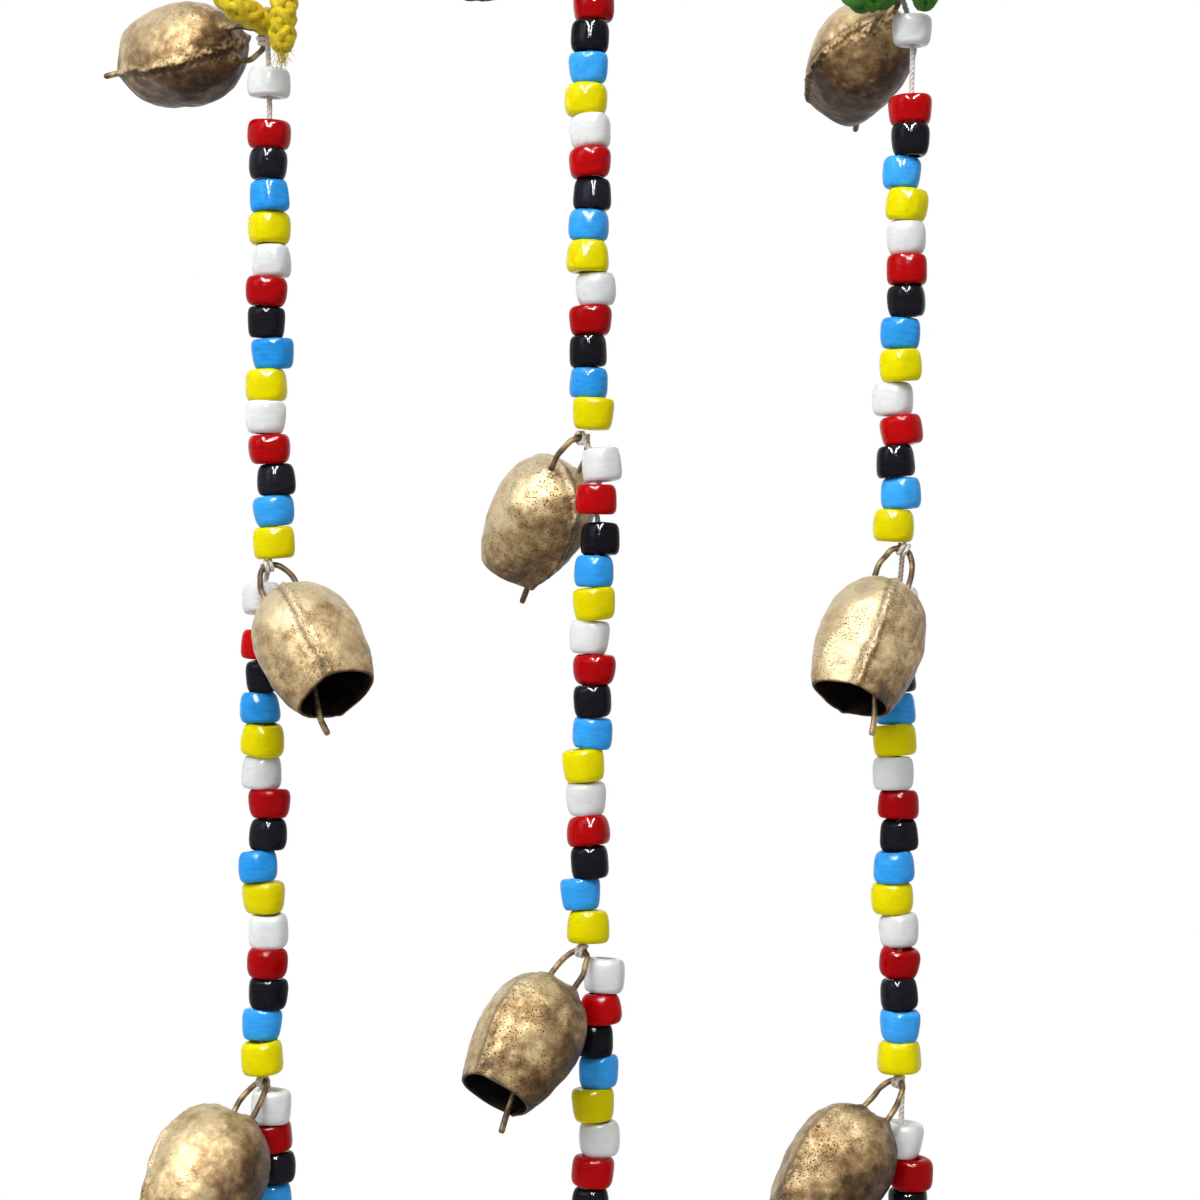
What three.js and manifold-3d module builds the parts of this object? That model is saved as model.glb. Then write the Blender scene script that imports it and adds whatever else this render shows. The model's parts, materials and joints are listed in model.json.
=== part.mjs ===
// String of bells: a set of three hanging strings of glass beads, each with three
// wire-hung bells tied between its beads and a rope loop to hang it by.
// Millimetres, +Z up, the front of the set faces -Y.
// The origin is the point where a hook carries the centre string's rope loop.
import * as THREE from 'three';
import { mergeVertices } from 'three/addons/utils/BufferGeometryUtils.js';
import Module from 'manifold-3d';

const wasm = await Module();
wasm.setup();

const DEGREE = Math.PI / 180;

// Clearances
const TOUCH_GAP = 0.3; // between pieces that bear on each other
const RUNNING_GAP = 0.2; // round a wire in its hole or eye
const CLAPPER_GAP = 0.4; // between a resting clapper and the lip

// Glass beads, in the order that they follow each other down a string
const BEAD_COLOURS = ['white', 'red', 'black', 'blue', 'yellow'];
const BEAD_DIAMETER = 9.2;
const BEAD_HEIGHT = 7.05;
const BLACK_BEAD_DIAMETER = 8.2;
const BEAD_FACE_DIAMETER = 5.8; // of the end faces, where one bead meets the next
const BEAD_SHOULDER = 2; // height of the rounding above and below the waist
const BEAD_BORE = 2.6;
const BEAD_SIDES = 10;
const CORD_SIDES = 8; // of thread, rope and the wire's holes
const WIRE_SIDES = 6;

// Stringing thread, with an eye tied round each bell's wire
const THREAD_DIAMETER = 1.2;
const EYE_WALL = 0.65;
const EYE_WIDTH = 1.6;
const KNOT_DIAMETER = 4.6;
const KNOT_TAIL = 4.5;
const THREAD_STEPS = 16;

// Bell shell: a sheet-metal dome, drawn in to its mouth and pointed at its two seams
const BELL_HEIGHT = 29;
const BELL_WIDTH = 23.6;
const BELL_DEPTH = 26.4; // from seam to seam
const BELL_WAIST_HEIGHT = 15; // of the widest level, above the mouth
const MOUTH_WIDTH = 18;
const MOUTH_DEPTH = 17.4;
const SHEET = 0.8;
const SEAM_POINT = 1.42; // power of the cross-section: 2 is an ellipse, and less is pointed at the seams
const BELL_SIDES = 16;

// The bell's outline leaves the lip and the waist along handles, given as shares of the curve's rise or width
const LIP_FLARE = 0.5;
const LIP_HANDLE = 0.2;
const SKIRT_HANDLE = 0.5;
const DOME_HANDLE = 0.52;
const CROWN_HANDLE = 0.73;

// Wire hanger: a long link through the crown, with a loop outside and an eye inside
const WIRE_DIAMETER = 1.3;
const HANGER_RISE = 9.5; // from the crown to the middle of the wire above it
const HANGER_DROP = 4; // from the crown's inside to the middle of the wire below it
const HANGER_WIDTH = 7.8; // between the middles of its legs
const HANGER_BEND = 2.5;

// Clapper: a rod with an eye
const CLAPPER_DIAMETER = 1.4;
const CLAPPER_REACH = 6; // how far its tip stands out of the mouth

// How far below its tie a bell bears on the beads
const PUSH_DROP = 22;

// Rope loop
const ROPE_DIAMETER = 5;
const ROPE_CREST = 32.6; // from the top tie to the middle of the rope at the hook
const ROPE_STEPS = 22;

// The strings. drop is how far a string's top tie hangs below the centre string's. The rope leaves
// its knot at start, seen from the top tie. Its lobe reaches to the left, and the lobe and the tail
// hang down and forward, by the lengths given.
// In each run, taller is added to the height of its beads, bare is the thread left bare above the
// first bead and slack the bare thread below it.
// side is where the bell above the run hangs: 0 in front, 90 to the right, -90 to the left. tilt is
// how far its hanger has slipped sideways in the tie, and held the lean of a bell whose hanger the
// rope's knot grips. The others rest on the beads and push them aside, and askew is how far the
// clapper of a tilted bell hangs sideways in it.
const STRING_SPACING = 71.4;
const STRINGS = [
  {
    name: 'left',
    x: -STRING_SPACING,
    drop: 21.6,
    rope: { colour: 0xe6c21c, start: [0.9, -2.3, 1.8], reach: 0, lobeDrop: 0.4, tailDrop: 8, forward: 5.2 },
    runs: [
      { level: 'top', beads: 15, taller: 0, bare: 5, slack: 4.6, side: -128, tilt: 65, push: 0, held: 87 },
      { level: 'mid', beads: 15, taller: 0.06, bare: 2, slack: 3.4, side: 13, tilt: 24, push: 0.8, askew: -10 },
      { level: 'low', beads: 5, taller: 0.05, bare: 0, slack: 0, side: -45, tilt: 6, push: 1.5 },
    ],
  },
  {
    name: 'centre',
    x: 0,
    drop: 0,
    rope: { colour: 0xc8431c, start: [1, 0.8, 3.8], reach: 0, lobeDrop: 0, tailDrop: 0, forward: 0 },
    runs: [
      { level: 'top', beads: 15, taller: 0.02, bare: 2, slack: 0, side: -90, tilt: 0, push: 0, held: 90 },
      { level: 'mid', beads: 15, taller: 0.37, bare: 0.4, slack: 0, side: -144, tilt: 0, push: 1.5 },
      { level: 'low', beads: 10, taller: 0.3, bare: 0, slack: 0, side: -38, tilt: -6, push: 1.5 },
    ],
  },
  {
    name: 'right',
    x: STRING_SPACING,
    drop: 11.5,
    rope: { colour: 0x2f7d3c, start: [1, -0.6, 4.3], reach: 5, lobeDrop: 7.9, tailDrop: 9.4, forward: 6.4 },
    runs: [
      { level: 'top', beads: 15, taller: 0.13, bare: 3.2, slack: 10.8, side: -145, tilt: -35, push: 0, held: 60 },
      { level: 'mid', beads: 15, taller: 0.03, bare: 6.3, slack: 3.4, side: -3, tilt: -21, push: 5, askew: 14 },
      { level: 'low', beads: 5, taller: 0.35, bare: 7.5, slack: 0, side: -52, tilt: -9, push: 1.5 },
    ],
  },
];

// Sizes that follow from the driving dimensions
const eyeInner = WIRE_DIAMETER / 2 + RUNNING_GAP;
const eyeOuter = eyeInner + EYE_WALL;
const strandStep = eyeInner + THREAD_DIAMETER / 2; // the thread passes the wire on the side away from the bell
const hangerLength = HANGER_RISE + SHEET + HANGER_DROP;
const eyeToMouth = BELL_HEIGHT - SHEET - HANGER_DROP;
const topTieHeight = ROPE_DIAMETER / 2 - ROPE_CREST;

const brass = new THREE.MeshStandardMaterial({ color: 0x9a7436, roughness: 0.45, metalness: 0.9 });
const wire = new THREE.MeshStandardMaterial({ color: 0x6b5535, roughness: 0.55, metalness: 0.9 });
const glass = new THREE.MeshStandardMaterial({ color: 0xb00d10, roughness: 0.12, metalness: 0 });
const milkGlass = new THREE.MeshStandardMaterial({ color: 0xe9ebea, roughness: 0.12, metalness: 0 });
const cotton = new THREE.MeshStandardMaterial({ color: 0xd9d2c2, roughness: 0.9, metalness: 0 });

function solidOf(geometry) {
  const bare = geometry.clone();
  bare.deleteAttribute('normal');
  bare.deleteAttribute('uv');
  const merged = mergeVertices(bare, 1e-4);
  const corners = merged.index.array;
  const triangles = [];
  for (let i = 0; i < corners.length; i += 3) {
    const [a, b, c] = corners.subarray(i, i + 3);
    if (a !== b && b !== c && c !== a) {
      triangles.push(a, b, c);
    }
  }
  return new wasm.Manifold(new wasm.Mesh({
    numProp: 3,
    vertProperties: new Float32Array(merged.attributes.position.array),
    triVerts: new Uint32Array(triangles),
  }));
}

function geometryOf(solid) {
  const mesh = solid.getMesh();
  const geometry = new THREE.BufferGeometry();
  geometry.setAttribute('position', new THREE.BufferAttribute(mesh.vertProperties, mesh.numProp));
  geometry.setIndex(new THREE.BufferAttribute(mesh.triVerts, 1));
  geometry.computeVertexNormals();
  return geometry;
}

// Revolves a profile of (radius, height) points about Z
function turned(profile, sides) {
  return new THREE.LatheGeometry(profile, sides).rotateX(Math.PI / 2);
}

function upright(radius, length, sides, steps) {
  return new THREE.CylinderGeometry(radius, radius, length, sides, steps).rotateX(Math.PI / 2);
}

function named(name, geometry, material) {
  const mesh = new THREE.Mesh(geometry, material);
  mesh.name = name;
  return mesh;
}

// A column of beads that touch each other, from its top face at height 0 downwards
function beadColumn(firstColour, count, pitch) {
  const bore = BEAD_BORE / 2;
  const face = BEAD_FACE_DIAMETER / 2;
  const profile = [new THREE.Vector2(bore, -count * pitch)];
  for (let bead = count - 1; bead >= 0; bead -= 1) {
    const colour = BEAD_COLOURS[(firstColour + bead) % BEAD_COLOURS.length];
    const waist = (colour === 'black' ? BLACK_BEAD_DIAMETER : BEAD_DIAMETER) / 2;
    const top = -bead * pitch;
    profile.push(new THREE.Vector2(face, top - pitch));
    profile.push(new THREE.Vector2(waist, top - pitch + BEAD_SHOULDER));
    profile.push(new THREE.Vector2(waist, top - BEAD_SHOULDER));
  }
  profile.push(new THREE.Vector2(face, 0));
  for (let bead = 0; bead <= count; bead += 1) {
    profile.push(new THREE.Vector2(bore, -bead * pitch));
  }
  return turned(profile, BEAD_SIDES);
}

// How far a string is pushed aside at a height from its tie: out to the bell and back to its line
// at the end of the run
function asideAt(height, push, end) {
  const out = Math.min(Math.max(-height / PUSH_DROP, 0), 1);
  const back = Math.min(Math.max((height + PUSH_DROP) / (end + PUSH_DROP), 0), 1);
  return push * Math.sin(out * Math.PI / 2) * (1 - back);
}

function pushAside(geometry, turn, push, end) {
  const points = geometry.attributes.position;
  for (let i = 0; i < points.count; i += 1) {
    const aside = asideAt(points.getZ(i), push, end);
    points.setX(i, points.getX(i) + Math.sin(turn) * aside);
    points.setY(i, points.getY(i) - Math.cos(turn) * aside);
  }
  geometry.computeVertexNormals();
  return geometry;
}

// A bell's half outline of (radius, height above the mouth) points, from its mouth to its crown
function bellOutline(inset) {
  const waist = BELL_WIDTH / 2 - inset;
  const lip = MOUTH_WIDTH / 2 - inset;
  const crown = BELL_HEIGHT - inset;
  const skirt = new THREE.CubicBezierCurve(
    new THREE.Vector2(lip, 0),
    new THREE.Vector2(lip + (waist - lip) * LIP_FLARE, BELL_WAIST_HEIGHT * LIP_HANDLE),
    new THREE.Vector2(waist, BELL_WAIST_HEIGHT * SKIRT_HANDLE),
    new THREE.Vector2(waist, BELL_WAIST_HEIGHT),
  );
  const dome = new THREE.CubicBezierCurve(
    new THREE.Vector2(waist, BELL_WAIST_HEIGHT),
    new THREE.Vector2(waist, BELL_WAIST_HEIGHT + (crown - BELL_WAIST_HEIGHT) * DOME_HANDLE),
    new THREE.Vector2(waist * CROWN_HANDLE, crown),
    new THREE.Vector2(0, crown),
  );
  return [...skirt.getPoints(3), ...dome.getPoints(5).slice(1)];
}

// How deep the shell is from seam to seam, as a share of its width, at a height above the mouth
function seamShare(height) {
  const mouth = MOUTH_DEPTH / MOUTH_WIDTH;
  const waist = BELL_DEPTH / BELL_WIDTH;
  return mouth + (waist - mouth) * Math.min(Math.max(height / BELL_WAIST_HEIGHT, 0), 1);
}

// Bells are drawn with the middle of the hanger's upper wire at the origin, hanging straight down
function bellShell() {
  const profile = [...bellOutline(SHEET).reverse(), ...bellOutline(0)];
  const shell = turned(profile, BELL_SIDES);
  const points = shell.attributes.position;
  for (let i = 0; i < points.count; i += 1) {
    const radius = Math.hypot(points.getX(i), points.getY(i));
    const across = radius > 0 ? points.getX(i) / radius : 0;
    const along = radius > 0 ? points.getY(i) / radius : 0;
    const flattened = Math.sign(across) * Math.abs(across) ** (2 / SEAM_POINT);
    points.setXY(i, radius * flattened, radius * along * seamShare(points.getZ(i)));
  }
  shell.translate(0, 0, -HANGER_RISE - BELL_HEIGHT);
  let solid = solidOf(shell);
  for (const side of [-1, 1]) {
    const hole = upright(WIRE_DIAMETER / 2 + RUNNING_GAP, BELL_HEIGHT / 2, CORD_SIDES, 1);
    hole.translate(side * HANGER_WIDTH / 2, 0, -HANGER_RISE);
    solid = solid.subtract(solidOf(hole));
  }
  return geometryOf(solid);
}

// A closed link of round wire in the XZ plane
function bellHanger() {
  const half = HANGER_WIDTH / 2 - HANGER_BEND;
  const top = -HANGER_BEND;
  const bottom = HANGER_BEND - hangerLength;
  const corners = [[half, top], [-half, top], [-half, bottom], [half, bottom]];
  const bendSteps = 2;
  const rings = [];
  corners.forEach(([x, z], corner) => {
    for (let step = 0; step <= bendSteps; step += 1) {
      const turn = (corner + step / bendSteps) * Math.PI / 2;
      rings.push({ x, z, turn });
    }
  });
  const points = [];
  const triangles = [];
  rings.forEach(({ x, z, turn }, ring) => {
    const next = (ring + 1) % rings.length;
    for (let side = 0; side < WIRE_SIDES; side += 1) {
      const round = side * 2 * Math.PI / WIRE_SIDES;
      const out = HANGER_BEND + WIRE_DIAMETER / 2 * Math.cos(round);
      points.push(x + out * Math.cos(turn), WIRE_DIAMETER / 2 * Math.sin(round), z + out * Math.sin(turn));
      const beside = (side + 1) % WIRE_SIDES;
      const [a, b] = [ring * WIRE_SIDES + side, ring * WIRE_SIDES + beside];
      const [c, d] = [next * WIRE_SIDES + beside, next * WIRE_SIDES + side];
      triangles.push(a, b, c, a, c, d);
    }
  });
  const geometry = new THREE.BufferGeometry();
  geometry.setAttribute('position', new THREE.Float32BufferAttribute(points, 3));
  geometry.setIndex(triangles);
  geometry.computeVertexNormals();
  return geometry;
}

// A clapper hangs straight down from the middle of its eye, at the origin
function bellClapper() {
  const rod = CLAPPER_DIAMETER / 2;
  const eye = WIRE_DIAMETER / 2 + RUNNING_GAP + rod;
  const tip = eyeToMouth + CLAPPER_REACH;
  const profile = [
    new THREE.Vector2(0, -tip),
    new THREE.Vector2(rod * 0.8, -tip),
    new THREE.Vector2(rod, rod - tip),
    new THREE.Vector2(rod, -eye),
    new THREE.Vector2(0, -eye),
  ];
  const ring = new THREE.TorusGeometry(eye, rod, WIRE_SIDES, CORD_SIDES).rotateY(Math.PI / 2);
  return geometryOf(solidOf(turned(profile, WIRE_SIDES)).add(solidOf(ring)));
}

// The tied eye lies round a bell's wire, whose place and way are given, and the thread goes down
// beside it, pushed aside as the beads are
function threadRun(wireAt, turn, tilt, length, { push, end }, hasEndKnot) {
  const half = EYE_WIDTH / 2;
  const profile = [
    new THREE.Vector2(eyeInner, -half),
    new THREE.Vector2(eyeOuter, -half),
    new THREE.Vector2(eyeOuter, half),
    new THREE.Vector2(eyeInner, half),
    new THREE.Vector2(eyeInner, -half),
  ];
  const eye = turned(profile, BEAD_SIDES).rotateY(Math.PI / 2 + tilt).rotateZ(turn);
  eye.translate(wireAt.x, wireAt.y, 0);
  const tail = hasEndKnot ? KNOT_TAIL : 0;
  const strand = upright(THREAD_DIAMETER / 2, length + tail, CORD_SIDES, THREAD_STEPS);
  strand.translate(0, 0, -(length + tail) / 2);
  pushAside(strand, turn, push, end);
  let solid = solidOf(eye).add(solidOf(strand));
  if (hasEndKnot) {
    const knot = new THREE.SphereGeometry(KNOT_DIAMETER / 2, CORD_SIDES, WIRE_SIDES);
    knot.rotateX(Math.PI / 2);
    knot.translate(0, 0, -length);
    solid = solid.add(solidOf(knot));
  }
  return geometryOf(solid);
}

// The rope starts in its knot at the top tie, turns up in a lobe on the left, goes round the hook
// and comes down on the right to its tail
function ropeLoop({ start, reach, lobeDrop, tailDrop, forward }) {
  const over = eyeOuter + TOUCH_GAP + ROPE_DIAMETER / 2;
  const lobe = [-5.8 - reach, -0.4 - forward, over + 1 - lobeDrop];
  const route = [
    start,
    start.map((place, axis) => (place + lobe[axis]) / 2),
    lobe,
    [-8 - reach, -0.4 - forward, over + 3.6 - lobeDrop],
    [-7.8 - reach * 0.8, -forward * 0.5, over + 8.2 - lobeDrop],
    [-7.4, 0, over + 13.5],
    [-7.2, 0, over + 19],
    [-5.2, 0, over + 24.4],
    [0, 0, ROPE_CREST],
    [5.2, 0, over + 24.4],
    [7.2, 0, over + 19],
    [7.2, 0, over + 13.5],
    [6.6, -0.5 - forward * 0.5, over + 7],
    [6.4, -0.8 - forward, over + 2],
    [5, -1 - forward, over - tailDrop],
  ];
  const section = new THREE.Shape();
  for (let side = 0; side < CORD_SIDES; side += 1) {
    const turn = side * 2 * Math.PI / CORD_SIDES;
    const point = [ROPE_DIAMETER / 2 * Math.cos(turn), ROPE_DIAMETER / 2 * Math.sin(turn)];
    if (side === 0) {
      section.moveTo(...point);
    } else {
      section.lineTo(...point);
    }
  }
  const extrudePath = new THREE.CatmullRomCurve3(route.map((point) => new THREE.Vector3(...point)));
  return new THREE.ExtrudeGeometry(section, { steps: ROPE_STEPS, extrudePath });
}

// The lean at which a bell that hangs from its eye rests against the beads, which start below the
// tie by the drop given and are pushed aside
function restingLean(turn, tilt, beadDrop, { push, end }) {
  const face = BEAD_FACE_DIAMETER / 2;
  const corners = [shellGeometry, hangerGeometry].flatMap(({ attributes: { position } }) => (
    Array.from({ length: position.count }, (_, i) => new THREE.Vector3().fromBufferAttribute(position, i))
  ));
  const wireAt = besideThread(turn);
  const misses = (lean) => {
    const way = new THREE.Euler(lean, tilt, turn, 'ZYX');
    return corners.every((corner) => {
      const { x, y, z } = corner.clone().applyEuler(way);
      const depth = TOUCH_GAP - beadDrop - z;
      const bead = face + (BEAD_DIAMETER / 2 - face) * Math.min(depth / BEAD_SHOULDER, 1);
      const aside = asideAt(z, push, end);
      const across = x + wireAt.x - Math.sin(turn) * aside;
      const along = y + wireAt.y + Math.cos(turn) * aside;
      return depth < 0 || Math.hypot(across, along) > bead + TOUCH_GAP;
    });
  };
  let low = 0;
  let high = Math.PI / 2;
  for (let halving = 0; halving < 30; halving += 1) {
    const middle = (low + high) / 2;
    if (misses(middle)) {
      high = middle;
    } else {
      low = middle;
    }
  }
  return high;
}

// A clapper leans, with its bell, towards the lip that is lowest, and less so where it hangs askew
function clapperLean(askew) {
  const across = eyeToMouth * Math.sin(Math.abs(askew)) / (MOUTH_WIDTH / 2);
  const along = Math.sqrt(1 - across ** SEAM_POINT);
  const wall = SHEET + CLAPPER_DIAMETER / 2 + CLAPPER_GAP;
  return Math.atan2(MOUTH_DEPTH / 2 * along - wall / (1 - across / 2), eyeToMouth);
}

const shellGeometry = bellShell();
const hangerGeometry = bellHanger();
const clapperGeometry = bellClapper();

function makeBell(name, { turn, tilt, lean, askew }) {
  const bell = new THREE.Group();
  bell.rotation.set(lean, tilt, turn, 'ZYX');
  bell.add(named(`${name}_bell_shell`, shellGeometry, brass));
  bell.add(named(`${name}_bell_hanger`, hangerGeometry, wire));
  const clapper = named(`${name}_bell_clapper`, clapperGeometry, wire);
  clapper.position.z = -hangerLength;
  clapper.rotation.set(-clapperLean(askew), askew, 0);
  bell.add(clapper);
  return bell;
}

// Where a bell's wire passes the thread, on the bell's side of it
function besideThread(turn) {
  return new THREE.Vector2(-Math.sin(turn), Math.cos(turn)).multiplyScalar(strandStep);
}

function makeRun(name, run, isLast) {
  const group = new THREE.Group();
  const turn = (run.side + 180) * DEGREE;
  const tilt = run.tilt * DEGREE;
  const pitch = BEAD_HEIGHT + run.taller;
  const firstTop = -(eyeOuter + TOUCH_GAP + run.bare);
  const lastFace = firstTop - run.slack - run.beads * pitch;
  const bend = { push: run.push, end: lastFace };
  const lean = run.held === undefined ? restingLean(turn, tilt, -firstTop, bend) : run.held * DEGREE;
  const length = isLast ? KNOT_DIAMETER / 2 + TOUCH_GAP - lastFace : -lastFace;
  const wireAt = besideThread(turn);
  const askew = (run.askew ?? 0) * DEGREE;
  const bell = makeBell(name, { turn, tilt, lean, askew });
  bell.position.set(wireAt.x, wireAt.y, 0);
  group.add(bell);
  group.add(named(`${name}_thread`, threadRun(wireAt, turn, tilt, length, bend, isLast), cotton));
  const loose = run.slack > 0 ? 1 : 0;
  if (loose) {
    const bead = beadColumn(0, loose, pitch).translate(0, 0, firstTop);
    group.add(named(`${name}_loose_bead`, pushAside(bead, turn, run.push, lastFace), milkGlass));
  }
  const beads = beadColumn(loose, run.beads - loose, pitch);
  beads.translate(0, 0, firstTop - run.slack - loose * pitch);
  group.add(named(`${name}_beads`, pushAside(beads, turn, run.push, lastFace), glass));
  return { group, nextTie: lastFace - TOUCH_GAP - eyeOuter };
}

function makeString({ name, x, drop, rope, runs }) {
  const string = new THREE.Group();
  const ropeFinish = new THREE.MeshStandardMaterial({ color: rope.colour, roughness: 0.6, metalness: 0 });
  string.position.set(x, 0, topTieHeight - drop);
  string.add(named(`${name}_rope_loop`, ropeLoop(rope), ropeFinish));
  let height = 0;
  runs.forEach((run, index) => {
    const isLast = index === runs.length - 1;
    const { group, nextTie } = makeRun(`${name}_${run.level}`, run, isLast);
    group.position.z = height;
    string.add(group);
    height += nextTie;
  });
  return string;
}

const part = new THREE.Group();
STRINGS.forEach((string) => part.add(makeString(string)));

export default part;
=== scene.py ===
import json
import math
import random

import bpy
import numpy as np
from mathutils import Matrix, Vector, noise


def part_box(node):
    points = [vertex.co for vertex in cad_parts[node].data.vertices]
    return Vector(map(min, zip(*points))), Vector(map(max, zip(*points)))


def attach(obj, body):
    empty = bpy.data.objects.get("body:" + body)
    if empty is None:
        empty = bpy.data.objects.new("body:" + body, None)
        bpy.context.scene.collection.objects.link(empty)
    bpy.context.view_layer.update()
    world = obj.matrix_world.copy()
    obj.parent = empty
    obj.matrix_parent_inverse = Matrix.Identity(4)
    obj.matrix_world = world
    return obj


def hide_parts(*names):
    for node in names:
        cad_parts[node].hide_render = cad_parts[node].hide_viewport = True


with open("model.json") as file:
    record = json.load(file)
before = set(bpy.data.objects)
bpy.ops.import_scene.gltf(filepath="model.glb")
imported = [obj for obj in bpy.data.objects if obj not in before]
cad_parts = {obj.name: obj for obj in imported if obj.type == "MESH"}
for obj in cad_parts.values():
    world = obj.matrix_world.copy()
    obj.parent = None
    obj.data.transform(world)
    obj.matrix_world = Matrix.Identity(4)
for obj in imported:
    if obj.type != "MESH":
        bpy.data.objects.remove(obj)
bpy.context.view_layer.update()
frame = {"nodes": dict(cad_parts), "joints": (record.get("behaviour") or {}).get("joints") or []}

MM = 0.001
TURN = 2 * math.pi
SHORTEST_SPAN = 1e-9
SMALLEST_AREA = 1e-12

# Sizes shared with the solids
BEAD_BORE = 2.6 * MM
WIRE_RADIUS = 0.65 * MM
RUNNING_GAP = 0.2 * MM
HANGER_RISE = 9.5 * MM
HANGER_DROP = 4 * MM
HANGER_WIDTH = 7.8 * MM
ARCH_LIFT = 0.2 * MM
BELL_HEIGHT = 29 * MM
BELL_WIDTH = 23.6 * MM
BELL_DEPTH = 26.4 * MM
WAIST_HEIGHT = 15 * MM
MOUTH_WIDTH = 18 * MM
MOUTH_DEPTH = 17.4 * MM
SHEET = 0.8 * MM
CLAPPER_RADIUS = 0.7 * MM
CLAPPER_REACH = 6 * MM
CLAPPER_GAP = 0.4 * MM
SEAM_POINT = 1.42
KNOT_TAIL = 4.5 * MM
ROPE_CREST = 32.6 * MM
ROPE_OVER_TIE = 4.3 * MM
HANGER_LENGTH = HANGER_RISE + SHEET + HANGER_DROP
EYE_TO_MOUTH = BELL_HEIGHT - SHEET - HANGER_DROP

# Glass beads: their order down a string, and each colour's share of a run's length and its radius
COLOURS = ("white", "red", "black", "blue", "yellow")
BEAD_LENGTHS = {"white": 1.05, "red": 0.94, "black": 1.0, "blue": 0.99, "yellow": 1.02}
BEAD_RADII = {"white": 4.55 * MM, "red": 4.75 * MM, "black": 4.25 * MM, "blue": 4.5 * MM, "yellow": 4.75 * MM}
BEAD_ROWS = 26
BEAD_COLUMNS = 40
BEAD_CLEARANCE = 0.06 * MM

# How beads differ: squareness of section, size, waves round them, taper, slant, tilt and tone
BEAD_SQUARENESS = (2.4, 3.6)
BEAD_SIZES = (0.97, 1.03)
BEAD_WAVES = (2, 3, 4, 5)
BEAD_WAVE_DEPTH = 0.026
BEAD_TAPER = 0.16
BEAD_SLANT = 0.05
BEAD_TILT = (0.045, 0.06)
BEAD_TONES = (0.25, 0.75)

# Runs of beads: how far each stands to the right of its string at its top, middle and end and how far its
# bell pushes it back, in millimetres, and its thread's length in metres
RUNS = {
    "left_top": {"beads": 15, "sway": (0.2, 0.4, 1.5), "push": 0, "thread": 0.119},
    "left_mid": {"beads": 15, "sway": (-1.5, -0.5, -1.6), "push": 0.78, "thread": 0.117},
    "left_low": {"beads": 5, "sway": (0.8, 0.9, 0.2), "push": 1.06, "thread": 0.046},
    "centre_top": {"beads": 15, "sway": (1.3, 1.6, 1.1), "push": 0, "thread": 0.113},
    "centre_mid": {"beads": 15, "sway": (2.5, 1.2, 0), "push": -1.21, "thread": 0.118},
    "centre_low": {"beads": 10, "sway": (2.3, 1.8, 2), "push": 1.18, "thread": 0.086},
    "right_top": {"beads": 15, "sway": (1.2, 0.2, -1.5), "push": 0, "thread": 0.128},
    "right_mid": {"beads": 15, "sway": (0.2, -1.4, -1), "push": 4.99, "thread": 0.121},
    "right_low": {"beads": 5, "sway": (1.3, 1, 0.9), "push": 0.92, "thread": 0.055},
}
PUSH_DROP = 22 * MM
BEAD_STRAY = 0.7 * MM
LOOSE_CUT = 0.45 * MM
# Bare thread above a bead, by run and bead
BEAD_GAPS = {("centre_mid", 1): 0.6 * MM, ("centre_mid", 2): 1.9 * MM}

# Cords: how far apart their samples lie, and how thin their ends are drawn
CORD_STEP = 0.4 * MM
END_FULLNESS = 0.06

# Thread: its plies, the turns that tie a bell's wire or a rope, and the knot at a string's end
PLIES = 3
PLY_RADIUS = 0.34 * MM
PLY_LAY = 3.4 * MM
THREAD_DIAMETER = 1.3 * MM
THREAD_SIDES = 8
THREAD_EYE = 0.8 * MM
TIE_TURNS = 2
TIE_PITCH = 1.1 * MM
TIE_STEPS = 24
TIE_RADIUS = WIRE_RADIUS + THREAD_DIAMETER * 0.42
WRAP_PLY_RADIUS = PLY_RADIUS * 0.85
WRAP_SPREAD = THREAD_DIAMETER * 0.18
HITCH_ALONG = 3.2 * MM
HITCH_STEPS = 60
KNOT_POINTS = 72
KNOT_SIZE = 0.62 * MM
KNOT_THICKNESS = 0.66 * MM
KNOT_DEPTH = 1.3
KNOT_LAY = 0.3 * MM

# Rope loops: a braid, half of its strands going each way round
ROPE_DIAMETER = 5.9 * MM
ROPE_STRANDS = 4
ROPE_STRAND_RADIUS = 1.15 * MM
ROPE_LAY = 14 * MM
ROPE_SIDES = 12
ROPE_WEAVE = 0.3 * MM
HITCH_RADIUS = ROPE_DIAMETER / 2 + THREAD_DIAMETER * 0.3
# What sets each rope's route, in millimetres, and its length in metres
ROPES = {
    "left": {"start": (2.4, -2.3, 1.8), "lobe_drop": 0.4, "tail_drop": 9.6, "tail_in": 1.4, "forward": 8.6,
             "length": 0.092},
    "centre": {"start": (1.6, 0.8, 5.9), "lobe_drop": 0, "tail_drop": 3, "tail_in": 3.4, "forward": 4.4,
               "length": 0.078},
    "right": {"start": (1, -0.6, 4.3), "lobe_drop": 8.4, "tail_drop": 10.2, "tail_in": 2.4, "forward": 7.6,
              "reach": 5, "dip": 2.6, "length": 0.105},
}
ROPE_COLOURS = {
    "left": ((0.3, 0.16, 0.0), (1.0, 0.82, 0.02)),
    "centre": ((0.3, 0.03, 0.005), (0.75, 0.16, 0.03)),
    "right": ((0.006, 0.05, 0.001), (0.05, 0.25, 0.01)),
}

# Frayed rope end: its fibres, with their lengths and radii in millimetres
TUFT_FIBRES = 70
TUFT_SIDES = 4
TUFT_LEAN = 0.45
TUFT_ROOT = 1.5
TUFT_LENGTHS = (1.2, 3.4)
TUFT_CURL = 0.25
TUFT_STEPS = 5
TUFT_RADII = (0.09, 0.03)

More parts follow.
